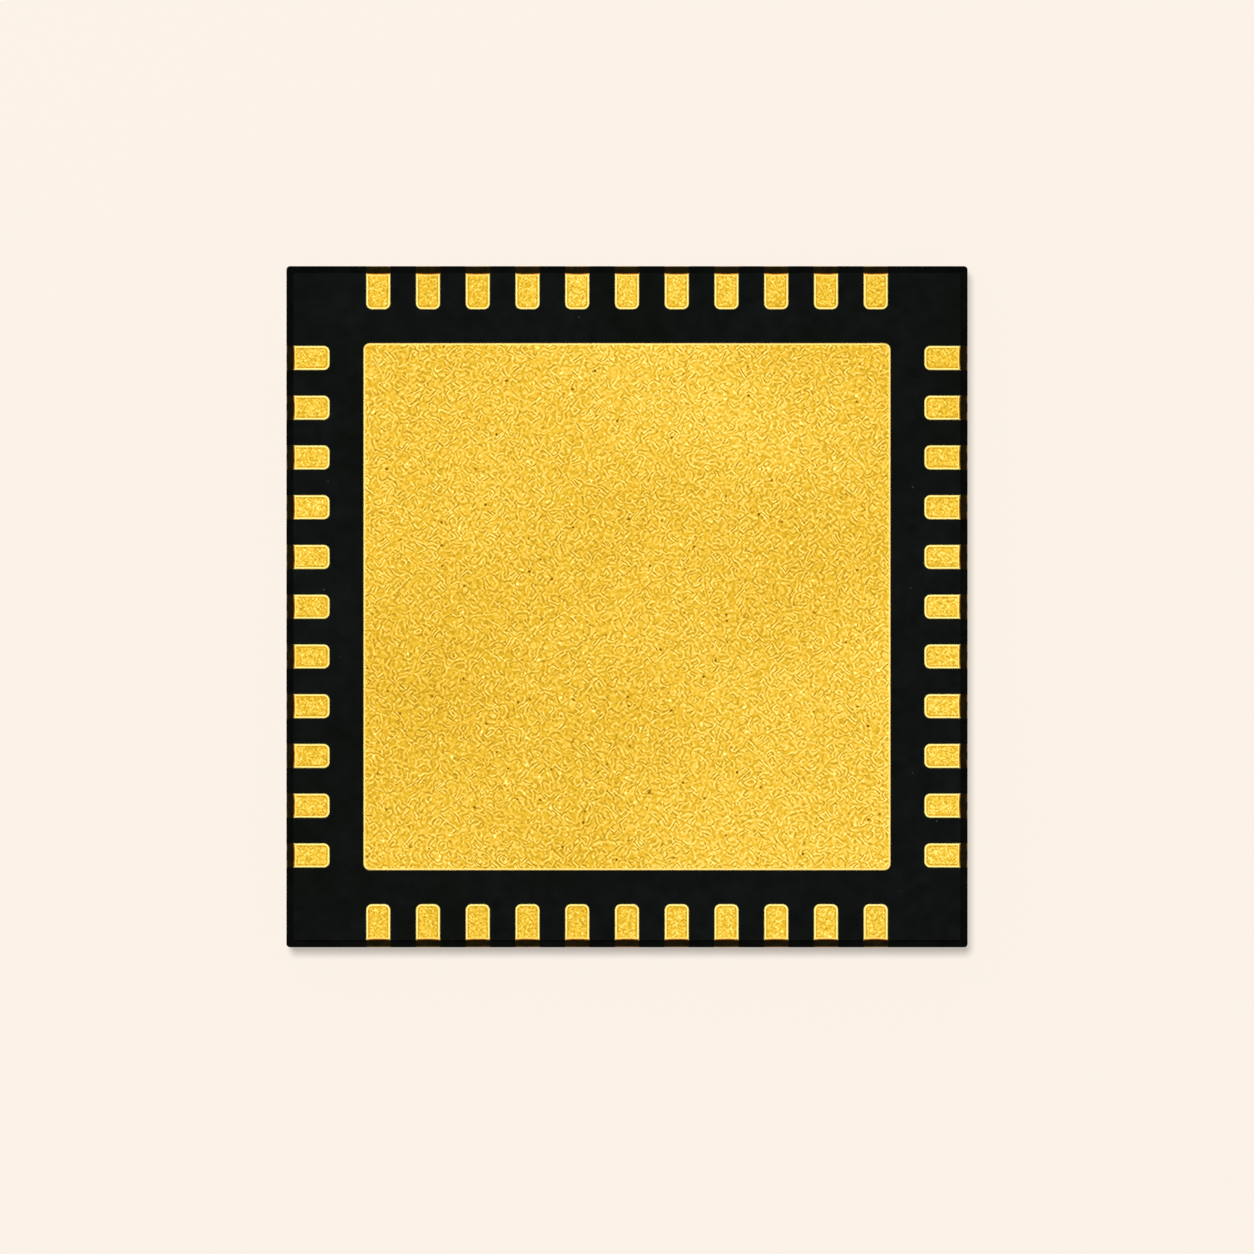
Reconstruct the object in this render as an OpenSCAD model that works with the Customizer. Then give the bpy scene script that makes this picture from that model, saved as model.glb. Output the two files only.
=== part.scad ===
// Power amplifier chip: a square no-lead package with one thermal pad and a row of leads on each side.
// It lies on its moulded face at z = 0 with the solder pads up, and its centre line is the Z axis.
// Like the real package it is etched, bonded and moulded in a strip, and then sawn to size.

/* [Package] */
// Side of the square package
body_w = 6.85; // [6.4:0.05:9]
// Height from the moulded face to the face of the solder pads
body_h = 0.85; // [0.75:0.05:1.2]
// Height of the solder pads above the mould compound
standoff = 0.02; // [0.01:0.005:0.05]
// Width of the step sawn round the solder face
step_w = 0.072; // [0.04:0.002:0.12]
// Depth of that step below the mould compound
step_d = 0.08; // [0.05:0.005:0.1]
// Radius of the four upright corners, worn a little by the saw
corner_r = 0.035; // [0.02:0.005:0.06]

/* [Lead frame] */
// Thickness of the copper sheet
frame_t = 0.2; // [0.18:0.01:0.25]
// Thickness left where the sheet is half-etched
etch_t = 0.08; // [0.06:0.005:0.1]
// Distance between the centres of neighbouring leads
lead_pitch = 0.5; // [0.45:0.05:0.65]
// Least distance from the package's edge to the centre of the first lead
corner_room = 0.9; // [0.85:0.05:1.2]
// Width of a lead's solder pad
lead_w = 0.245; // [0.2:0.005:0.28]
// Length of a lead's solder pad
lead_len = 0.365; // [0.3:0.005:0.45]
// Radius of the two inner corners of a lead's solder pad
lead_r = 0.06; // [0.03:0.005:0.09]
// Depth of the hollow in a solder pad's outer end
end_dip = 0.006; // [0.004:0.002:0.02]
// Reach of a lead's half-etched wings past each side of its pad
wing_w = 0.03; // [0.01:0.005:0.045]
// Reach of a lead's half-etched finger past its pad's inner end
finger_len = 0.11; // [0.08:0.005:0.13]
// Radius of the finger's two corners
finger_r = 0.1; // [0.05:0.005:0.11]

/* [Die paddle] */
// Gap on the solder face between the lead pads and the thermal pad
pad_gap = 0.338; // [0.3:0.002:0.5]
// Radius of the thermal pad's corners
pad_r = 0.065; // [0.03:0.005:0.2]
// Reach of the half-etched locking rim past the thermal pad
rim_w = 0.1; // [0.06:0.005:0.12]
// Width of each corner tie bar
tie_w = 0.16; // [0.1:0.01:0.2]

/* [Die] */
// Side of the square die
die_w = 3.2; // [2.4:0.1:4]
// Thickness of the die
die_t = 0.1; // [0.07:0.01:0.15]
// Thickness of the layer that bonds the die to the paddle
attach_t = 0.03; // [0.015:0.005:0.05]
// Spread of that layer past the die's edges
attach_edge = 0.06; // [0.02:0.01:0.15]

/* [Bond wires] */
// Diameter of the wire
wire_d = 0.05; // [0.03:0.005:0.06]
// Height of the wire's loop above the die
loop_h = 0.18; // [0.15:0.01:0.22]
// Radius of the bend at the top of the loop
bend_r = 0.08; // [0.06:0.01:0.1]
// Diameter of the ball bond on the die
ball_d = 0.1; // [0.08:0.01:0.12]
// Height of the ball bond
ball_h = 0.02; // [0.01:0.005:0.04]
// Distance from the die's edge to the centre of a ball bond
bond_inset = 0.1; // [0.08:0.01:0.2]
// Diameter of the stitch bond on the lead
stitch_d = 0.11; // [0.07:0.01:0.14]
// Thickness of the stitch bond
stitch_h = 0.015; // [0.01:0.005:0.02]
// Distance from the finger's tip to the centre of the stitch bond
stitch_inset = 0.14; // [0.12:0.01:0.2]

/* [Corner mark] */
// Diameter of the round dimple that marks the first lead's corner on the moulded face
mark_d = 0.5; // [0.3:0.05:0.8]
// Depth of the dimple
mark_depth = 0.03; // [0.01:0.01:0.06]
// Distance from the package's edges to the centre of the dimple
mark_inset = 0.7; // [0.6:0.05:1.2]

/* [Hidden] */
$fn = 32;
mould_colour = "#161817";
plating_colour = "#e6bb45";
die_colour = "#6d7580";
attach_colour = "#b9bcc0";
wire_colour = "#e8c35a";

// Heights
mould_h = body_h - standoff;
ledge_z = mould_h - step_d;
frame_z = body_h - frame_t;
die_z = frame_z - attach_t - die_t;

// Plan of one side, measured from the Z axis outwards
edge_x = body_w / 2;
pad_end_x = edge_x - step_w;
pad_start_x = pad_end_x - lead_len;
finger_x = pad_start_x - finger_len;
strip_x = edge_x + step_w;
pad_w = 2 * (pad_start_x - pad_gap);
rim_side = pad_w + 2 * rim_w;

// Rows of leads and of ball bonds
side_leads = floor((body_w - 2 * corner_room) / lead_pitch) + 1;
lead_total = 4 * side_leads;
row_half = (side_leads - 1) * lead_pitch / 2;
bond_x = die_w / 2 - bond_inset;
bond_half = bond_x - ball_d;
stitch_x = finger_x + stitch_inset;

// The bend is this much thicker than the wire, and the straight runs reach this far into it
bend_swell = wire_d / 50;
bend_lap = wire_d / 12;

// Leads are counted clockwise as seen on the solder face, from the top of the right-hand side
function lead_name(k) = str("lead_", k < 10 ? "0" : "", k);
function side_turn(k) = -90 * floor((k - 1) / side_leads);
function lead_y(k) = row_half - ((k - 1) % side_leads) * lead_pitch;
function bond_y(k) = lead_y(k) * bond_half / row_half;
// Radius of the arc with this chord and rise
function arc_r(chord, rise) = chord * chord / (8 * rise) + rise / 2;

// Square plate outline with round corners
module round_square(w, r) {
    square([w, w - 2 * r], center = true);
    square([w - 2 * r, w], center = true);
    for (x = [-1, 1], y = [-1, 1])
        translate([x, y] * (w / 2 - r)) circle(r = r);
}

// Outline that runs out along +X from a round-cornered end
module tongue(start_x, end_x, w, r) {
    translate([start_x + r, -w / 2]) square([end_x - start_x - r, w]);
    translate([start_x, r - w / 2]) square([r, w - 2 * r]);
    for (y = [-1, 1])
        translate([start_x + r, y * (w / 2 - r)]) circle(r = r);
}

// What the saw removes along the +X side: the step first, then the cut through the strip
module saw_cut() {
    translate([pad_end_x, -body_w, ledge_z]) cube([body_w, 2 * body_w, body_h]);
    translate([edge_x, -body_w, -body_h]) cube([body_w, 2 * body_w, 3 * body_h]);
}

// What the wear takes off the upright corner between +X and +Y
module corner_wear() {
    translate([edge_x - corner_r, edge_x - corner_r, -body_h]) difference() {
        cube([body_w, body_w, 3 * body_h]);
        cylinder(r = corner_r, h = 3 * body_h);
    }
}

module saw_all_sides() {
    for (turn = [0 : 90 : 270])
        rotate([0, 0, turn]) {
            saw_cut();
            corner_wear();
        }
}

// One lead of the +X side as etched, still running into the strip
module lead_blank() {
    translate([0, 0, frame_z]) {
        linear_extrude(frame_t) tongue(pad_start_x, strip_x, lead_w, lead_r);
        linear_extrude(etch_t) tongue(finger_x, pad_end_x, lead_w + 2 * wing_w, finger_r);
    }
}

// Hollow along the outer end of one solder pad
module end_hollow() {
    r = arc_r(lead_w, end_dip);
    translate([pad_end_x - end_dip + r, 0, ledge_z]) cylinder(r = r, h = body_h, $fn = 180);
}

module place_lead(k) {
    rotate([0, 0, side_turn(k)]) translate([0, lead_y(k), 0]) children();
}

module lead(k) {
    color(plating_colour) place_lead(k) difference() {
        lead_blank();
        saw_cut();
        end_hollow();
    }
}

// Thermal pad, half-etched rim and corner tie bars as etched, still held in the strip
module paddle_blank() {
    translate([0, 0, frame_z]) {
        linear_extrude(frame_t) round_square(pad_w, pad_r);
        linear_extrude(etch_t) {
            round_square(rim_side, pad_r + rim_w);
            for (turn = [45 : 90 : 315])
                rotate(turn) translate([pad_w / 2, -tie_w / 2]) square([strip_x * sqrt(2) - pad_w / 2, tie_w]);
        }
    }
}

module die_paddle() {
    color(plating_colour) difference() {
        paddle_blank();
        saw_all_sides();
    }
}

module die_attach() {
    side = die_w + 2 * attach_edge;
    color(attach_colour) translate([-side / 2, -side / 2, frame_z - attach_t]) cube([side, side, attach_t]);
}

module amplifier_die() {
    color(die_colour) translate([-die_w / 2, -die_w / 2, die_z]) cube([die_w, die_w, die_t]);
}

// One wire that stands on a ball at the origin, bends over and runs down to a stitch at the given span.
// The run leaves the bend along the tangent that meets the lead's face under the stitch.
module bond_wire(span) {
    drop = attach_t + die_t;
    neck = loop_h - bend_r;
    far = norm([span - bend_r, drop + neck]);
    slope = atan2(drop + neck, span - bend_r) + asin(bend_r / far);
    run = sqrt(far * far - bend_r * bend_r) + wire_d / tan(slope);
    cylinder(d = ball_d, h = ball_h);
    cylinder(d = wire_d, h = neck + bend_lap);
    translate([bend_r, 0, neck]) rotate([90, 0, 0]) {
        rotate([0, 0, 90 - slope]) rotate_extrude(angle = 90 + slope)
            translate([bend_r, 0]) circle(d = wire_d + bend_swell);
        rotate([0, 0, -slope]) translate([-bend_lap, bend_r, 0]) rotate([0, 90, 0])
            cylinder(d = wire_d, h = run + bend_lap);
    }
    translate([span, 0, -drop]) cylinder(d = stitch_d, h = stitch_h);
}

// The wires stand on the die's lower face, and each ends flat on the face of its lead
module bond_wires() {
    color(wire_colour) difference() {
        for (k = [1 : lead_total]) {
            reach = [stitch_x - bond_x, lead_y(k) - bond_y(k)];
            rotate([0, 0, side_turn(k)]) translate([bond_x, bond_y(k), die_z])
                rotate([0, 0, atan2(reach.y, reach.x)]) mirror([0, 0, 1]) bond_wire(norm(reach));
        }
        translate([-body_w / 2, -body_w / 2, frame_z]) cube([body_w, body_w, frame_t]);
    }
}

module corner_mark() {
    translate([edge_x - mark_inset, edge_x - mark_inset, -mark_depth]) cylinder(d = mark_d, h = 2 * mark_depth);
}

module mould_body() {
    color(mould_colour) difference() {
        translate([-strip_x, -strip_x, 0]) cube([2 * strip_x, 2 * strip_x, mould_h]);
        saw_all_sides();
        for (k = [1 : lead_total])
            place_lead(k) lead_blank();
        paddle_blank();
        die_attach();
        amplifier_die();
        bond_wires();
        corner_mark();
    }
}

mould_body();
die_paddle();
die_attach();
amplifier_die();
bond_wires();
for (k = [1 : lead_total])
    lead(k);
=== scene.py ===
# %% [markdown]
# # A power amplifier chip, seen on its solder side
# The real object is a square no-lead package about seven millimetres wide. A copper sheet was etched,
# plated with gold, bonded to a die, moulded into black epoxy and sawn out of a strip. This lesson dresses
# the CAD frame of that package in Blender. The frame is loaded first, because every size below is measured
# against it.

# %% Load the frame
import math

import bmesh
import bpy
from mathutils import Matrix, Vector


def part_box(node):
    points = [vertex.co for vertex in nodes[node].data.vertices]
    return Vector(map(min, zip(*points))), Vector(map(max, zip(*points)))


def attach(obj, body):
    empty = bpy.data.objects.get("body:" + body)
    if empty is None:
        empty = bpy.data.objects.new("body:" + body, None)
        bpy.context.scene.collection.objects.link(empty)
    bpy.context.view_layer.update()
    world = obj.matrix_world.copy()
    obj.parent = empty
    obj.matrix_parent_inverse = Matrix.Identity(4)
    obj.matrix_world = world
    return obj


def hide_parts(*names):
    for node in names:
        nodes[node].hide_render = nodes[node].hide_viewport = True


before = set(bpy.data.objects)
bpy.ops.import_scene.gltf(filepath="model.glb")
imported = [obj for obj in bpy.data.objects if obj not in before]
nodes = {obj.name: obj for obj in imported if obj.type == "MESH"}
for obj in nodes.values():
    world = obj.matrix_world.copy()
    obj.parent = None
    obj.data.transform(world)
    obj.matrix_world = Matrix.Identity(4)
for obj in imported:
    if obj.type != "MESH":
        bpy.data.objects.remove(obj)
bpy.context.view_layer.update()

MM = 0.001
print("CAD nodes:", len(nodes))

# %% [markdown]
# # Colours and nodes
# A colour is easiest to write as the hex value that a screen shows, but a shader adds light, so it wants
# linear numbers. One function turns the first into the second. A second function adds any node to a
# material: its settings go in by name, and an input is either a value or the output of another node. With
# those two, each finish below reads as a list of what it is made of.

# %% Helpers for finishes
def linear(hex_colour):
    """The linear RGBA of an sRGB hex colour."""
    channels = [int(hex_colour[i:i + 2], 16) / 255 for i in (1, 3, 5)]
    return [c / 12.92 if c < 0.04045 else ((c + 0.055) / 1.055) ** 2.4 for c in channels] + [1.0]


def add(tree, kind, inputs=None, **settings):
    """A node of this kind. An input is named or numbered, and takes a value or another node's output."""
    node = tree.nodes.new(kind)
    for name, value in settings.items():
        setattr(node, name, value)
    for name, value in (inputs or {}).items():
        if isinstance(value, bpy.types.NodeSocket):
            tree.links.new(value, node.inputs[name])
        else:
            node.inputs[name].default_value = value
    return node


def new_finish(name):
    """A material, its nodes, its shader and the object coordinates that its patterns follow."""
    material = bpy.data.materials.new(name)
    material.use_nodes = True
    tree = material.node_tree
    place = add(tree, "ShaderNodeTexCoord").outputs["Object"]
    return material, tree, tree.nodes["Principled BSDF"], place


print("pale gold in linear light:", [round(c, 3) for c in linear("#f0c544")])

# %% [markdown]
# # Folds in the gold
# The solder pads are copper under nickel and a matte layer of gold. The plated sheet is covered in fine
# curled folds, one short line beside the next, each a crest or a hollow, with a painted highlight on each
# crest and painted ochre shade in each hollow. They could be carved into the mesh, but there are many
# thousands. A sine of a noise gives ripples that curl and close like contours on a map, wide in some places
# and narrow in others. Each cell of a Voronoi pattern shows another part of that map, which cuts the long
# contours into short strokes. Taking off the average of four points close by, as a picture is sharpened,
# leaves only thin lines, all of one width.

# %% Curled folds
# A point and the four round it, in reaches, each with its weight
STENCIL = ((0, 0, 1.0), (1, 0, -0.25), (-1, 0, -0.25), (0, 1, -0.25), (0, -1, -0.25))
# Nearly all of a noise lies between these two values.
NOISE_LOW = 0.3
NOISE_HIGH = 0.7
# A patch of strokes and a patch of equal strength, in folds, and a jump to another part of the noise, in mm
LEAF = 1.1
PATCH = 0.67
JUMP = 10.0
# How far the noise is bent, and the strength of the faintest and the strongest folds
FOLD_TWIST = 0.4
FAINT_FOLD = 0.28
STRONG_FOLD = 0.52


def curled_folds(tree, place, fold, ripples, reach):
    """The height of folds of a size in mm, full of ripples, drawn as lines about two reaches apart."""
    lines = 0.0
    for x, y, weight in STENCIL:
        spot = add(tree, "ShaderNodeVectorMath", {0: place, 1: [x * reach * MM, y * reach * MM, 0.0]},
                   operation="ADD").outputs[0]
        leaf = add(tree, "ShaderNodeTexVoronoi", {"Vector": spot, "Scale": 1 / (LEAF * fold * MM)},
                   voronoi_dimensions="2D")
        there = add(tree, "ShaderNodeVectorMath", {0: leaf.outputs["Color"], 1: [JUMP * MM] * 3, 2: spot},
                    operation="MULTIPLY_ADD")
        slope = add(tree, "ShaderNodeTexNoise", {"Vector": there.outputs[0], "Scale": 1 / (fold * MM),
                    "Detail": 0.0, "Distortion": FOLD_TWIST})
        turn = add(tree, "ShaderNodeMath", {0: slope.outputs["Fac"], 1: ripples}, operation="MULTIPLY")
        ripple = add(tree, "ShaderNodeMath", {0: turn.outputs[0]}, operation="SINE")
        lines = add(tree, "ShaderNodeMath", {0: ripple.outputs[0], 1: weight, 2: lines},
                    operation="MULTIPLY_ADD").outputs[0]
    # Folds are strong in one patch and faint in the next.
    patch = add(tree, "ShaderNodeTexNoise", {"Vector": place, "Scale": 1 / (PATCH * fold * MM),
                "Detail": 1.0})
    strength = add(tree, "ShaderNodeMapRange", {"Value": patch.outputs["Fac"], "From Min": NOISE_LOW,
                   "From Max": NOISE_HIGH, "To Min": FAINT_FOLD, "To Max": STRONG_FOLD})
    return add(tree, "ShaderNodeMath", {0: lines, 1: strength.outputs[0]}, operation="MULTIPLY").outputs[0]


print("points that draw a fold:", len(STENCIL))

# %% [markdown]
# # Grain, clouds and specks
# Between its folds the gold has a fine grain, and across a whole pad the bath left broad clouds, a shade
# richer or paler. Here and there lies a speck, a pit or a bead. Through the colour of the height a pit gets
# painted shade and a bead a painted highlight. Specks could be scattered as small meshes, but they are
# hardly raised, and there are thousands. A Voronoi pattern gives each of its cells a middle and a number
# drawn by lot. The middle holds the speck, and the number says how deep or high it is. All of this is added
# to the height of the folds.

# %% Marks of the plating bath
# How far the noise of grain and clouds is bent
GRAIN_TWIST = 0.5
# A broad cloud, in mm, and how far it raises or lowers the height
BATH_CLOUD = 2.0
CLOUD_DEPTH = 0.08
# The room round a speck, in mm, and the speck's flat middle and edge, in rooms
SPECK_ROOM = 0.11
SPECK_CORE = 0.06
SPECK_EDGE = 0.17


def with_grain(tree, place, height, size, depth, detail):
    """The height with a noise of a size in mm added to it, up and down by a depth."""
    noise = add(tree, "ShaderNodeTexNoise", {"Vector": place, "Scale": 1 / (size * MM), "Detail": detail,
                "Distortion": GRAIN_TWIST})
    step = add(tree, "ShaderNodeMapRange", {"Value": noise.outputs["Fac"], "From Min": NOISE_LOW,
               "From Max": NOISE_HIGH, "To Min": -depth, "To Max": depth}, clamp=False)
    return add(tree, "ShaderNodeMath", {0: height, 1: step.outputs[0]}, operation="ADD").outputs[0]


def with_specks(tree, place, height, most):
    """The height with specks added to it, each between the deepest pit and the highest bead."""
    cells = add(tree, "ShaderNodeTexVoronoi", {"Vector": place, "Scale": 1 / (SPECK_ROOM * MM)})
    dot = add(tree, "ShaderNodeMapRange", {"Value": cells.outputs["Distance"], "From Min": SPECK_CORE,
              "From Max": SPECK_EDGE, "To Min": 1.0, "To Max": 0.0})
    lot = add(tree, "ShaderNodeSeparateColor", {"Color": cells.outputs["Color"]})
    depth = add(tree, "ShaderNodeMapRange", {"Value": lot.outputs[0], "To Min": -most, "To Max": most})
    # A pit lowers the height, so the gold's colour paints shade into it, and a bead raises it and gets a
    # painted highlight.
    return add(tree, "ShaderNodeMath", {0: dot.outputs[0], 1: depth.outputs[0], 2: height},
               operation="MULTIPLY_ADD").outputs[0]


print("a speck, mm across:", round(2 * SPECK_EDGE * SPECK_ROOM, 3))

# %% [markdown]
# # One recipe for matte gold
# The height drives two things. It mixes the colour from hollow through face to crest, which paints shade
# into the hollows and a highlight onto the crests, and it drives the bump, so the light agrees with the
# painted shade and highlight. The golds of this chip could be built one by one, but they are one layer
# from one bath, so they share one function and differ only in sizes, depths and colours.

# %% Matte gold
# The height at which the colour is all painted crest highlight or all painted hollow shade
CREST_HEIGHT = 1.0
HOLLOW_DEPTH = -1.4


def gold_plating(name, fold, ripples, reach, grain, grain_depth, specks, face, crest_highlight, hollow_shade, roughness,
                 relief):
    """Matte gold, with its fold, reach, grain and relief in mm."""
    material, tree, shader, place = new_finish(name)
    height = curled_folds(tree, place, fold, ripples, reach)
    height = with_grain(tree, place, height, grain, grain_depth, detail=1.0)
    height = with_grain(tree, place, height, BATH_CLOUD, CLOUD_DEPTH, detail=0.0)
    height = with_specks(tree, place, height, specks)
    # Toward a crest the face colour is painted paler, as a highlight, and toward a hollow deeper, as shade.
    bright = add(tree, "ShaderNodeMapRange", {"Value": height, "From Min": 0.0, "From Max": CREST_HEIGHT})
    dark = add(tree, "ShaderNodeMapRange", {"Value": height, "From Min": 0.0, "From Max": HOLLOW_DEPTH})
    lit = add(tree, "ShaderNodeMix", {0: bright.outputs[0], 6: linear(face), 7: linear(crest_highlight)},
              data_type="RGBA")
    hollow_shaded_colour = add(tree, "ShaderNodeMix", {0: dark.outputs[0], 6: lit.outputs[2], 7: linear(hollow_shade)},
               data_type="RGBA")
    bump = add(tree, "ShaderNodeBump", {"Height": height, "Distance": relief * MM, "Strength": 1.0})
    tree.links.new(hollow_shaded_colour.outputs[2], shader.inputs["Base Color"])
    tree.links.new(bump.outputs["Normal"], shader.inputs["Normal"])
    shader.inputs["Metallic"].default_value = 1.0
    shader.inputs["Roughness"].default_value = roughness
    return material


print("colour is all crest or all hollow at heights", CREST_HEIGHT, HOLLOW_DEPTH)

# %% [markdown]
# # Five golds
# The thermal pad is the only large field of gold, and there the folds show best. The leads are cut from
# narrow fingers of the same sheet, where the gold is finer. A pad's rounded edge is painted paler, as a
# highlight along it, and a line just inside a lead's rim is painted deeper, as the shade of a shallow groove
# that is not modelled. These could be one gold with a mask, but a face of the mesh is the better mask here,
# so each is a material of its own.

# %% Golds of pads, rims and grooves
# Real plating has a grain near 0.002 mm. That is too fine to show, so it is drawn about ten times coarser.
# The thermal pad's matte gold gives the eye a warm sheen, broken by curled folds and dark pits.
thermal_gold = gold_plating(
    "matte_gold_plating_folded", fold=0.1, ripples=25.0, reach=0.0185, grain=0.03, grain_depth=0.3,
    specks=1.7, face="#e0bc35", crest_highlight="#fef09c", hollow_shade="#7f4d02", roughness=0.74, relief=0.0006)
# The leads' matte gold is finer and softer: an even grain with hardly a fold.
lead_gold = gold_plating(
    "matte_gold_plating_grained", fold=0.05, ripples=14.0, reach=0.015, grain=0.026, grain_depth=0.6,
    specks=1.2, face="#e4c037", crest_highlight="#f7eb8e", hollow_shade="#b08b1b", roughness=0.74, relief=0.0006)
# A lead's rounded edge is painted pale, as a highlight along it.
rim_highlight_gold = gold_plating(
    "gold_rim_painted_highlight", fold=0.3, ripples=10.0, reach=0.02, grain=0.08, grain_depth=0.1,
    specks=0.2, face="#faea97", crest_highlight="#fff4bc", hollow_shade="#c9a544", roughness=0.72, relief=0.0005)
# On the thermal pad's edges and a lead's outer end, the painted highlight along the edge is a shade deeper.
edge_highlight_gold = gold_plating(
    "gold_edge_painted_highlight", fold=0.3, ripples=10.0, reach=0.02, grain=0.08, grain_depth=0.1,
    specks=0.2, face="#f7dd84", crest_highlight="#fdeeae", hollow_shade="#bd9536", roughness=0.72, relief=0.0005)
# Just inside a lead's rim a deeper, more orange line is painted, as the shade of a shallow groove.
groove_shade_gold = gold_plating(
    "gold_groove_painted_shade", fold=0.05, ripples=14.0, reach=0.015, grain=0.026, grain_depth=0.5,
    specks=0.6, face="#d6ab2a", crest_highlight="#e8c756", hollow_shade="#a98016", roughness=0.74, relief=0.0006)
print("gold finishes:", [m.name for m in (thermal_gold, lead_gold, rim_highlight_gold, edge_highlight_gold, groove_shade_gold)])

# %% [markdown]
# # Sawn copper
# The saw runs through the strip twice. It cuts a step beside each pad, and then cuts the package free. Both
# cuts bare the copper under the gold. It stays bright beside a pad and keeps fine lines along the blade's
# path on the package's side. On the floor of the step it is tarnished, and its colour is painted nearly
# black, with the step's shade painted into it. The lines could be cut into the mesh, but they are finer than
# its smallest edge. A noise that is stretched along the level axes gives lines that are long and lie level,
# and a second noise mixes clean metal with tarnish.

# %% Copper left by the saw
# A blade's real lines are a few thousandths of a millimetre high. They would not show, so these are coarser.
SAW_LINE = 0.012
SAW_RELIEF = 0.001
# The noise runs this much slower along a line than across it.
SAW_STRETCH = 0.08
# A patch of tarnish, in mm
TARNISH = 0.06
# A noise that runs from nought to one between these two values becomes a crisp pattern.
CRISP_LOW = 0.35
CRISP_HIGH = 0.65


def sawn_copper(name, clean, dark, roughness, metallic, gloss):
    """Bare copper with level saw lines, from its clean colour to its tarnished one."""
    material, tree, shader, place = new_finish(name)
    flat = add(tree, "ShaderNodeMapping", {"Vector": place, "Scale": [SAW_STRETCH, SAW_STRETCH, 1.0]})
    lines = add(tree, "ShaderNodeTexNoise", {"Vector": flat.outputs[0], "Scale": 1 / (SAW_LINE * MM)})
    stain = add(tree, "ShaderNodeTexNoise", {"Vector": place, "Scale": 1 / (TARNISH * MM), "Detail": 3.0})
    spread = add(tree, "ShaderNodeMapRange", {"Value": stain.outputs["Fac"], "From Min": CRISP_LOW,
                 "From Max": CRISP_HIGH})
    colour = add(tree, "ShaderNodeMix", {0: spread.outputs[0], 6: linear(clean), 7: linear(dark)},
                 data_type="RGBA")
    bump = add(tree, "ShaderNodeBump", {"Height": lines.outputs["Fac"], "Distance": SAW_RELIEF * MM})
    tree.links.new(colour.outputs[2], shader.inputs["Base Color"])
    tree.links.new(bump.outputs["Normal"], shader.inputs["Normal"])
    shader.inputs["Metallic"].default_value = metallic
    shader.inputs["Roughness"].default_value = roughness
    shader.inputs["Specular IOR Level"].default_value = gloss
    return material


# A fresh cut gives the eye a dull yellow-brown metal.
cut_copper = sawn_copper("sawn_copper", clean="#b38d46", dark="#86622a", roughness=0.55, metallic=1.0,
                         gloss=0.5)
# An old one is covered in oxide, and its colour also holds painted shade of the step and of a burr's notch:
# a brown that is nearly black and hardly shines.
tarnish_and_shade_copper = sawn_copper("tarnish_and_shade_copper", clean="#1f1806", dark="#120e04", roughness=0.8,
                               metallic=0.0, gloss=0.03)
# Beside the gold of a lead's outer end the cut is bright, and its copper is deep orange.
bright_copper = sawn_copper("bright_sawn_copper", clean="#bd7c14", dark="#94600c", roughness=0.55,
                            metallic=1.0, gloss=0.5)
print("copper finishes:", cut_copper.name, tarnish_and_shade_copper.name, bright_copper.name)

# %% [markdown]
# # Plated pieces
# The leads and the paddle have the right shape in the frame, but their pads end in knife edges. The pieces
# could be drawn again, but a copy of the CAD solid keeps its form exactly. The copy is welded, because the
# frame's triangles are loose, and its flat parts are joined, so that the next steps find whole faces.

# %% Welded copies
WELD = 0.00001 * MM
# Neighbours that turn by less than this, in radians, become one face.
FLAT = 0.005


def welded_copy(node_name):
    """A CAD solid as a bmesh with welded corners and whole flat faces."""
    bm = bmesh.new()
    bm.from_mesh(nodes[node_name].data)
    bmesh.ops.remove_doubles(bm, verts=bm.verts, dist=WELD)
    bmesh.ops.dissolve_limit(bm, angle_limit=FLAT, verts=bm.verts, edges=bm.edges)
    return bm


trial = welded_copy("lead_01")
print("faces of a lead, loose and welded:", len(nodes["lead_01"].data.polygons), len(trial.faces))
trial.free()

# %% [markdown]
# # Rounded rims
# Plating builds up and rounds an edge. Each pad's rounded edge is painted pale, as a highlight along it, and
# a lead also has a thin deeper line inside that rim, painted as the shade of a shallow groove. Both could be
# painted by a texture, but a real round catches the light from every side. A bevel rounds the pad's edge,
# and each inset leaves a ring of faces that can take a finish of its own.

# %% Rounded pads and rings
EDGE_ROUND = 0.01 * MM
RIM = 0.009 * MM
GROOVE = 0.018 * MM
# Two points closer than this in height or reach count as level.
LEVEL = 0.001 * MM
pad_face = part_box("lead_01")[1].z


def rounded_pad(bm):
    """The face of the solder pad, once its edge is round. It is the highest, and of equals the largest."""
    sharp = [e for e in bm.edges if all(v.co.z > pad_face - LEVEL for v in e.verts)]
    bmesh.ops.bevel(bm, geom=sharp, offset=EDGE_ROUND, offset_type="OFFSET", segments=3, profile=0.5,
                    affect="EDGES", material=-1)
    return max(bm.faces, key=lambda f: f.calc_center_median().z + f.calc_area())


def ring(bm, pad, width):
    """The ring of faces that an inset of this width leaves round a pad."""
    return bmesh.ops.inset_region(bm, faces=[pad], thickness=width, use_even_offset=True)["faces"]


print("pad face, mm:", round(pad_face / MM, 3))

# %% [markdown]
# # What the saw leaves on a lead
# The saw leaves no rim on a lead's outer end: there a narrow lip of bare copper shows. The tail that runs
# on to the package's side has a small burr along its cut. The lip is the pad's outer edge drawn back a
# little, and the burr is a bevel. Both could be left to the finish, but the lip is what parts the gold from
# the dark step in the picture, and the burr catches a thin line of light.

# %% Lips and burrs
SAWN_LIP = 0.003 * MM
BURR = 0.006 * MM
STEP_DEPTH = 0.08 * MM
STEP_WIDTH = 0.072 * MM
mould_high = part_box("mould_body")[1]
side = mould_high.x
mould_face = mould_high.z
ledge = mould_face - STEP_DEPTH
pad_end = side - STEP_WIDTH
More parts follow.
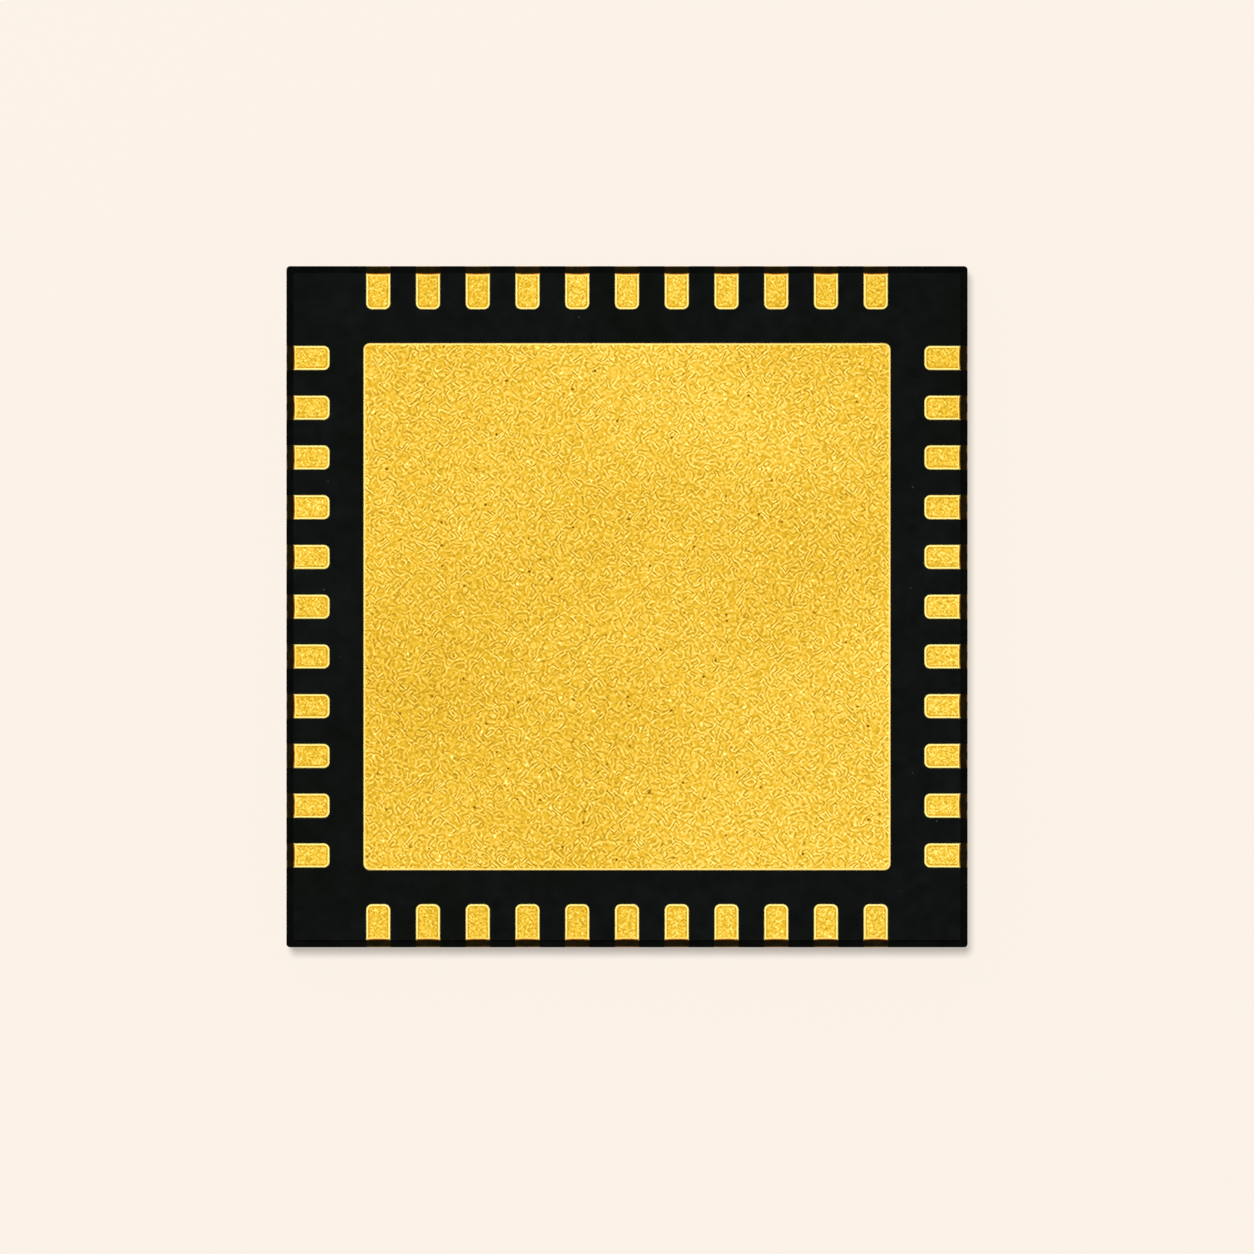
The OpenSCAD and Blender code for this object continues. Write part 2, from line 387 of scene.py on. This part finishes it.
# What lies farther out than this is at the outer end of a lead.
near_end = pad_end - STEP_WIDTH / 2


def tail_edges(bm, out):
    """The edges along the top of a lead's sawn tail, at the package's side."""
    return [e for e in bm.edges
            if all(v.co.dot(out) > side - LEVEL and v.co.z > ledge - LEVEL for v in e.verts)]


def burr_tail(bm, out):
    """A burr along the tail's cut, in three lengths so that the middle one can be painted dark, as a notch's
    shade.
    """
    bmesh.ops.subdivide_edges(bm, edges=tail_edges(bm, out), cuts=2)
    bmesh.ops.bevel(bm, geom=tail_edges(bm, out), offset=BURR, offset_type="OFFSET", segments=1,
                    profile=0.5, affect="EDGES", material=-1)


def draw_back_lip(bm, out):
    """The pad's outer edge, drawn back so that a lip of copper shows."""
    lip = [v for v in bm.verts if v.co.z > pad_face - LEVEL and v.co.dot(out) > near_end]
    bmesh.ops.translate(bm, verts=lip, vec=out * -SAWN_LIP)


print("ledge of the sawn step, mm:", round(ledge / MM, 3))

# %% [markdown]
# # A finish for each face
# A plated piece has seven finishes. Its faces could be picked by hand, but there are 44 leads. Where a face
# lies and which way it looks already tells what happened to it: a face at the package's side was cut, a
# face that looks out beside the step was cut and is still bright, a level face down on the ledge is
# tarnished and painted with the step's shade, and the rest is pale gold painted as the edge's highlight.

# %% Which finish a face takes
# The second and sixth finishes are pale gold painted as an edge's highlight, the third is painted shade
# inside a rim, and the fifth is tarnish with painted shade.
FACE, EDGE_HIGHLIGHT, GROOVE_SHADE, CUT, TARNISH_AND_SHADE, OUTER_HIGHLIGHT, BRIGHT = range(7)
# The package's upright corners are worn round within this width.
WORN_CORNER = 0.04 * MM
# The middle length of a burr lies this close to the middle line of its lead.
BURR_GAP = 0.01 * MM
# How far a face's normal has to point up or out, of one
LIES_LEVEL = 0.9
SLOPES_UP = 0.5
LOOKS_OUT = 0.05


def flank_finish(face, out, middle_y):
    """The finish of a face off the pad. On two sides of the package a burr's middle is painted dark, as a
    notch's shade.
    """
    centre = face.calc_center_median()
    reach = max(abs(centre.x), abs(centre.y))
    if reach > side - WORN_CORNER and face.normal.z < LIES_LEVEL:
        # On the two sides that face along x, a burr's middle takes tarnish and painted shade, for a notch
        # that is not modelled.
        if out and out.x and face.normal.z > SLOPES_UP and abs(centre.y - middle_y) < BURR_GAP:
            return TARNISH_AND_SHADE
        return CUT
    if out and face.normal.dot(out) > LOOKS_OUT:
        return BRIGHT
    # The ledge takes tarnish with the step's shade painted in.
    if centre.z < ledge + LEVEL and face.normal.z > LIES_LEVEL:
        return TARNISH_AND_SHADE
    # The rest takes the pale gold painted as the highlight along an edge.
    return EDGE_HIGHLIGHT


def at_end(face, out):
    """True for a face at the outer end of a lead."""
    return out and face.calc_center_median().dot(out) > near_end


print("finishes on a plated piece:", BRIGHT + 1)

# %% [markdown]
# # Leads and paddle
# The last step takes each solid through the ones above. A lead has a way out to the saw, and the paddle has
# none. All 44 leads could be instances of one mesh, but here a piece's place belongs in its own mesh, so
# each lead gets one. Each finished piece rides on the one body of this part and takes the place of its CAD
# node, which is hidden.

# %% Make the plated pieces
def plated_piece(node_name, face_gold, edge, out=None):
    """A copy of a lead or of the paddle. A lead's way out to the saw tells which of its faces were cut."""
    bm = welded_copy(node_name)
    if out:
        burr_tail(bm, out)
    pad = rounded_pad(bm)
    rim = ring(bm, pad, RIM)
    groove = []
    if out:
        groove = ring(bm, pad, GROOVE)
        draw_back_lip(bm, out)
    bm.normal_update()
    low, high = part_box(node_name)
    for face in bm.faces:
        face.material_index = flank_finish(face, out, (low.y + high.y) / 2)
    pad.material_index = FACE
    # Faces just inside a lead's rim take the painted groove shade, except at the outer end.
    for face in groove:
        face.material_index = FACE if at_end(face, out) else GROOVE_SHADE
    # Rim faces take the pale gold painted as the edge's highlight, and at the outer end a deeper painted
    # highlight.
    for face in rim:
        face.material_index = OUTER_HIGHLIGHT if at_end(face, out) else EDGE_HIGHLIGHT
    mesh = bpy.data.meshes.new("plated_" + node_name)
    bm.to_mesh(mesh)
    bm.free()
    # The second finish is the pale gold painted as the highlight along a pad's rounded edge.
    for finish in (face_gold, edge, groove_shade_gold, cut_copper, tarnish_and_shade_copper, edge_highlight_gold, bright_copper):
        mesh.materials.append(finish)
    piece = bpy.data.objects.new("plated_" + node_name, mesh)
    bpy.context.scene.collection.objects.link(piece)
    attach(piece, "root")
    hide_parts(node_name)
    return piece


def way_out(node_name):
    """The direction from the package's axis to the side on which a lead ends."""
    low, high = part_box(node_name)
    middle = (low + high) / 2
    if abs(middle.x) > abs(middle.y):
        return Vector((math.copysign(1, middle.x), 0, 0))
    return Vector((0, math.copysign(1, middle.y), 0))


paddle = plated_piece("die_paddle", thermal_gold, edge_highlight_gold)
lead_names = sorted(name for name in nodes if name.startswith("lead_"))
leads = [plated_piece(name, lead_gold, rim_highlight_gold, way_out(name)) for name in lead_names]
print("faces of the paddle and of one lead:", len(paddle.data.polygons), len(leads[0].data.polygons))

# %% [markdown]
# # Mould compound
# The block is black epoxy filled with fine glass, moulded under pressure. To the eye its solder face is
# matte and nearly even, with clouds of a slightly paler black. Its CAD solid has the right shape, so it
# stays and only gets a finish. One material holds the moulded faces and the sawn ones, because it is one
# piece. The skin could be one flat black, but that would show as a hole in the picture, so two noises, a
# broad and a fine one, move it between four blacks.

# %% Clouds in the moulded skin
# A broad cloud and a small one, in mm
TONE_CLOUD = 1.2
MOTTLE = 0.15

mould, tree, shader, place = new_finish("black_epoxy_mould_compound")
cloud = add(tree, "ShaderNodeTexNoise", {"Vector": place, "Scale": 1 / (TONE_CLOUD * MM), "Detail": 4.0})
spread = add(tree, "ShaderNodeMapRange", {"Value": cloud.outputs["Fac"], "From Min": CRISP_LOW,
             "From Max": CRISP_HIGH})
mottle = add(tree, "ShaderNodeTexNoise", {"Vector": place, "Scale": 1 / (MOTTLE * MM), "Detail": 3.0})
patch = add(tree, "ShaderNodeMapRange", {"Value": mottle.outputs["Fac"], "From Min": NOISE_LOW,
            "From Max": NOISE_HIGH})
deep = add(tree, "ShaderNodeMix", {0: spread.outputs[0], 6: linear("#050805"), 7: linear("#080b0a")},
           data_type="RGBA")
pale = add(tree, "ShaderNodeMix", {0: spread.outputs[0], 6: linear("#0a0e0a"), 7: linear("#0f1312")},
           data_type="RGBA")
tone = add(tree, "ShaderNodeMix", {0: patch.outputs[0], 6: deep.outputs[2], 7: pale.outputs[2]},
           data_type="RGBA")
print("mould nodes for the clouds:", len(tree.nodes))

# %% [markdown]
# # Bare filler
# Here and there a pale grain of the filler lies bare in the skin, more often where the black is paler.
# Grains could be scattered as small meshes, but they lie flush. A Voronoi cell has a middle and a number
# drawn by lot, and the cell shows a fleck in its middle only where that number, times the broad cloud, is
# high.

# %% Flecks in the moulded skin
# The room round a fleck, in mm, its own radius, in rooms, and the lot above which it shows
FLECK_ROOM = 0.12
FLECK = 0.07
FLECK_LOT = 0.55

cells = add(tree, "ShaderNodeTexVoronoi", {"Vector": place, "Scale": 1 / (FLECK_ROOM * MM)})
near = add(tree, "ShaderNodeMath", {0: cells.outputs["Distance"], 1: FLECK}, operation="LESS_THAN")
lot = add(tree, "ShaderNodeSeparateColor", {"Color": cells.outputs["Color"]})
chance = add(tree, "ShaderNodeMath", {0: lot.outputs[0], 1: spread.outputs[0]}, operation="MULTIPLY")
chosen = add(tree, "ShaderNodeMath", {0: chance.outputs[0], 1: FLECK_LOT}, operation="GREATER_THAN")
fleck = add(tree, "ShaderNodeMath", {0: near.outputs[0], 1: chosen.outputs[0]}, operation="MULTIPLY")
skin = add(tree, "ShaderNodeMix", {0: fleck.outputs[0], 6: tone.outputs[2], 7: linear("#3c403c")},
           data_type="RGBA").outputs[2]
print("a fleck, mm across:", round(2 * FLECK * FLECK_ROOM, 3))

# %% [markdown]
# # Where the saw has been
# The saw cuts the step and the four flanks into the block. Sawn and moulded faces could be pieces of their
# own, but height and distance from the axis already tell the shader where the blade has been. A face
# between the moulded face and the solder face was cut, and it is a flank if it also lies below the step and
# far out.

# %% Zones of the saw
axes = add(tree, "ShaderNodeSeparateXYZ", {"Vector": place})
across = add(tree, "ShaderNodeMath", {0: axes.outputs["X"]}, operation="ABSOLUTE")
along = add(tree, "ShaderNodeMath", {0: axes.outputs["Y"]}, operation="ABSOLUTE")
reach = add(tree, "ShaderNodeMath", {0: across.outputs[0], 1: along.outputs[0]}, operation="MAXIMUM")


def zone(axis, low, high):
    """One where this axis is between two values, and nought elsewhere."""
    over = add(tree, "ShaderNodeMath", {0: axis, 1: low}, operation="GREATER_THAN")
    under = add(tree, "ShaderNodeMath", {0: axis, 1: high}, operation="LESS_THAN")
    both = add(tree, "ShaderNodeMath", {0: over.outputs[0], 1: under.outputs[0]}, operation="MULTIPLY")
    return both.outputs[0]


cut = zone(axes.outputs["Z"], LEVEL, mould_face - LEVEL)
below_step = zone(axes.outputs["Z"], LEVEL, ledge - LEVEL)
outside = zone(reach.outputs[0], side - WORN_CORNER, 2 * side)
flank = add(tree, "ShaderNodeMath", {0: below_step, 1: outside}, operation="MULTIPLY").outputs[0]
print("mould nodes with the zones:", len(tree.nodes))

# %% [markdown]
# # Sawn mould
# The saw opens the filler. On the flanks the cut glass turns the black to charcoal, with level lines left
# by the blade. The narrow step is painted a darker black than the moulded face. Lines and glass could be
# displaced mesh, but they are flatter than anything that shows in the outline, so a stretched noise and a
# fine one give them their colours.

# %% Colours of the sawn mould
# Blade lines and filler are drawn about twice as coarse as they are, because the real ones would not show.
BLADE_LINE = 0.02
FILLER = 0.03
BLADE_STRETCH = 0.04
# Only the peaks of the filler's noise are cut glass.
GLASS_LOW = 0.55
GLASS_HIGH = 0.75

flat = add(tree, "ShaderNodeMapping", {"Vector": place, "Scale": [BLADE_STRETCH, BLADE_STRETCH, 1.0]})
lines = add(tree, "ShaderNodeTexNoise", {"Vector": flat.outputs[0], "Scale": 1 / (BLADE_LINE * MM),
            "Detail": 3.0})
streak = add(tree, "ShaderNodeMapRange", {"Value": lines.outputs["Fac"], "From Min": CRISP_LOW,
             "From Max": CRISP_HIGH})
opened = add(tree, "ShaderNodeMix", {0: streak.outputs[0], 6: linear("#191a18"), 7: linear("#2b2c2a")},
             data_type="RGBA")
filler = add(tree, "ShaderNodeTexNoise", {"Vector": place, "Scale": 1 / (FILLER * MM), "Detail": 2.0})
glass = add(tree, "ShaderNodeMapRange", {"Value": filler.outputs["Fac"], "From Min": GLASS_LOW,
            "From Max": GLASS_HIGH})
charcoal = add(tree, "ShaderNodeMix", {0: glass.outputs[0], 6: opened.outputs[2], 7: linear("#4a4b48")},
               data_type="RGBA")
# The step is painted a darker black than the moulded face.
darker_step_black = add(tree, "ShaderNodeMix", {0: patch.outputs[0], 6: linear("#030403"), 7: linear("#090b09")},
             data_type="RGBA")
stepped = add(tree, "ShaderNodeMix", {0: cut, 6: skin, 7: darker_step_black.outputs[2]}, data_type="RGBA")
colour = add(tree, "ShaderNodeMix", {0: flank, 6: stepped.outputs[2], 7: charcoal.outputs[2]},
             data_type="RGBA")
print("mould nodes with the sawn colours:", len(tree.nodes))

# %% [markdown]
# # Bump and sheen of the block
# Moulded epoxy has the fine pimples of its filler, and sawn epoxy the lines of the blade. Either could be a
# displacement, but they are only a few thousandths of a millimetre high, so a bump is enough. Both faces
# are matte, the sawn one more so, and neither has much gloss. With that the finish is complete and goes on
# the CAD node.

# %% Surface of the mould
MOULD_RELIEF = 0.003
MOULDED_ROUGHNESS = 0.75
SAWN_ROUGHNESS = 0.9
MOULD_GLOSS = 0.04

relief = add(tree, "ShaderNodeMix", {0: cut, 2: filler.outputs["Fac"], 3: lines.outputs["Fac"]})
bump = add(tree, "ShaderNodeBump", {"Height": relief.outputs[0], "Distance": MOULD_RELIEF * MM})
matte = add(tree, "ShaderNodeMapRange", {"Value": cut, "To Min": MOULDED_ROUGHNESS,
            "To Max": SAWN_ROUGHNESS})
tree.links.new(colour.outputs[2], shader.inputs["Base Color"])
tree.links.new(bump.outputs["Normal"], shader.inputs["Normal"])
tree.links.new(matte.outputs[0], shader.inputs["Roughness"])
shader.inputs["Specular IOR Level"].default_value = MOULD_GLOSS
nodes["mould_body"].material_slots[0].material = mould
print("mould finish on", nodes["mould_body"].name)

# %% [markdown]
# # Inside the mould
# The die, its bond and the wires are out of sight, but a finished part has finishes on them too. The die is
# ground silicon, the bond is epoxy full of silver flakes, and the wires are drawn gold. Each could have a
# pattern of its own, but as long as the mould is closed, one grain between two tones serves all three.

# %% Finishes of the hidden pieces
def hidden_finish(node_name, name, low_tone, high_tone, grain, metallic, roughness):
    """A grain of a size in mm between two tones, on a CAD node."""
    finish, tree, shader, place = new_finish(name)
    noise = add(tree, "ShaderNodeTexNoise", {"Vector": place, "Scale": 1 / (grain * MM), "Detail": 2.0})
    colour = add(tree, "ShaderNodeMix", {0: noise.outputs["Fac"], 6: linear(low_tone),
                 7: linear(high_tone)}, data_type="RGBA")
    tree.links.new(colour.outputs[2], shader.inputs["Base Color"])
    shader.inputs["Metallic"].default_value = metallic
    shader.inputs["Roughness"].default_value = roughness
    nodes[node_name].material_slots[0].material = finish
    print(node_name, "is finished in", finish.name)


# Ground silicon gives the eye a blue-grey half shine.
hidden_finish("amplifier_die", "ground_silicon", "#5f6670", "#7b838d", grain=0.02, metallic=0.6,
              roughness=0.35)
# Epoxy full of silver flakes is a dull pale grey.
hidden_finish("die_attach", "silver_filled_epoxy", "#a9acb0", "#c9ccd0", grain=0.03, metallic=0.7,
              roughness=0.5)
# Drawn gold wire is smooth, bright and yellow.
hidden_finish("bond_wires", "drawn_gold_wire", "#dcb24a", "#f0cc6a", grain=0.04, metallic=1.0,
              roughness=0.3)

# %% [markdown]
# # Sheet under the chip
# The chip lies on a plain cream sheet. The sheet could be lit by the lamp alone, but to be this pale it
# would need more light than suits the gold. So half of its paleness is its own in the camera's eye, which
# keeps the ground even, and the other half is lit, so that it keeps the shadow. Metal mirrors the sheet, so
# rays that come off a shiny or clear surface see it in the same way.

# %% Cream sheet
CREAM = "#fef4e9"
SHEET = 400 * MM
GLOW = 0.5


def eye_rays(tree):
    """One for a ray from the camera, or off a shiny or clear surface, and nought for any other."""
    path = add(tree, "ShaderNodeLightPath")
    metal = add(tree, "ShaderNodeMath", {0: path.outputs["Is Camera Ray"],
                1: path.outputs["Is Glossy Ray"]}, operation="MAXIMUM")
    glass = add(tree, "ShaderNodeMath", {0: metal.outputs[0], 1: path.outputs["Is Transmission Ray"]},
                operation="MAXIMUM")
    return glass.outputs[0]


bm = bmesh.new()
bmesh.ops.create_grid(bm, x_segments=1, y_segments=1, size=SHEET / 2)
sheet_mesh = bpy.data.meshes.new("cream_sheet")
bm.to_mesh(sheet_mesh)
bm.free()
sheet = bpy.data.objects.new("cream_sheet", sheet_mesh)
bpy.context.scene.collection.objects.link(sheet)
# Matte paper gives the eye an even tone with no shine at all.
paper, tree, shader, place = new_finish("matte_cream_paper")
shader.inputs["Base Color"].default_value = linear(CREAM)
shader.inputs["Roughness"].default_value = 1.0
shader.inputs["Specular IOR Level"].default_value = 0.0
share = add(tree, "ShaderNodeMath", {0: eye_rays(tree), 1: GLOW}, operation="MULTIPLY")
glow = add(tree, "ShaderNodeEmission", {"Color": linear(CREAM), "Strength": 1.0})
both = add(tree, "ShaderNodeMixShader", {0: share.outputs[0], 1: shader.outputs[0], 2: glow.outputs[0]})
tree.links.new(both.outputs[0], tree.nodes["Material Output"].inputs["Surface"])
sheet_mesh.materials.append(paper)
print("sheet, mm:", SHEET / MM)

# %% [markdown]
# # Lamp
# One small soft lamp hangs almost straight above the chip, a little to the upper left, so that only a thin
# shadow shows below and on the right. A sun could do it too, but a round lamp at a known height is what
# hangs in a studio, and its power can be worked out: a white sheet straight below sends back the lamp's
# share of full white, so a colour renders about as it is written.

# %% Soft lamp
LAMP_HEIGHT = 400 * MM
LAMP_WIDTH = 60 * MM
LAMP_PLACE = (-22.0 * MM, 44.0 * MM)
LAMP_SHARE = 0.94

lamp_data = bpy.data.lights.new("soft_lamp", "AREA")
lamp_data.shape = "DISK"
lamp_data.size = LAMP_WIDTH
lamp_data.energy = LAMP_SHARE * math.pi ** 2 * LAMP_HEIGHT ** 2
lamp = bpy.data.objects.new("soft_lamp", lamp_data)
lamp.location = (*LAMP_PLACE, LAMP_HEIGHT)
bpy.context.scene.collection.objects.link(lamp)
print("lamp power, W:", round(lamp_data.energy, 3))

# %% [markdown]
# # Sky
# A faint white sky fills the shadows. What the camera and the metal see is another matter: a cream backdrop
# at the horizon that fades to a dimmer ceiling. The whole sky could be cream, but gold that mirrors it from
# all round would lose its depth.

# %% Pale sky
# The light of the sky and the paleness of the ceiling, of full white
SKY_SHARE = 0.06
CEILING = 0.2
# How far a direction rises where the backdrop ends, of one
BACKDROP_TOP = 0.4

sky = bpy.data.worlds.new("pale_sky")
sky.use_nodes = True
tree = sky.node_tree
fill = tree.nodes["Background"]
fill.inputs["Color"].default_value = (1.0, 1.0, 1.0, 1.0)
fill.inputs["Strength"].default_value = SKY_SHARE
way = add(tree, "ShaderNodeTexCoord").outputs["Generated"]
rise = add(tree, "ShaderNodeSeparateXYZ", {"Vector": way})
paleness = add(tree, "ShaderNodeMapRange", {"Value": rise.outputs["Z"], "From Min": 0.0,
               "From Max": BACKDROP_TOP, "To Min": 1.0, "To Max": CEILING})
shown = add(tree, "ShaderNodeBackground", {"Color": linear(CREAM), "Strength": paleness.outputs[0]})
seen = add(tree, "ShaderNodeMixShader", {0: eye_rays(tree), 1: fill.outputs[0], 2: shown.outputs[0]})
tree.links.new(seen.outputs[0], tree.nodes["World Output"].inputs["Surface"])
bpy.context.scene.world = sky
bpy.context.scene.view_settings.view_transform = "Standard"
print("sky nodes:", len(tree.nodes))

# %% [markdown]
# # Camera
# The picture looks straight down on the solder pads, and none of the chip's sides shows in it. A camera
# without perspective could do that, but a long lens from far away shows the same and stays a real lens in
# every other view. Its length follows from the size of a millimetre in the picture.

# %% Long lens
# The picture's side and the row of the chip's middle, in pixels
PHOTO_SIDE = 1254
CHIP_ROW = 606.7
PX_PER_MM = 99.5
CAMERA_AWAY = 150 * MM
SENSOR_WIDTH = 36.0
# Nearest and farthest things drawn, in camera distances
NEAR = 0.1
FAR = 10

camera_data = bpy.data.cameras.new("camera")
camera_data.sensor_width = SENSOR_WIDTH
camera_data.lens = camera_data.sensor_width * CAMERA_AWAY / (PHOTO_SIDE / PX_PER_MM * MM)
camera_data.clip_start = NEAR * CAMERA_AWAY
camera_data.clip_end = FAR * CAMERA_AWAY
camera = bpy.data.objects.new("camera", camera_data)
camera.location = (0.0, -(PHOTO_SIDE / 2 - CHIP_ROW) / PX_PER_MM * MM, pad_face + CAMERA_AWAY)
bpy.context.scene.collection.objects.link(camera)
bpy.context.scene.camera = camera
print("lens, mm:", round(camera_data.lens, 1))
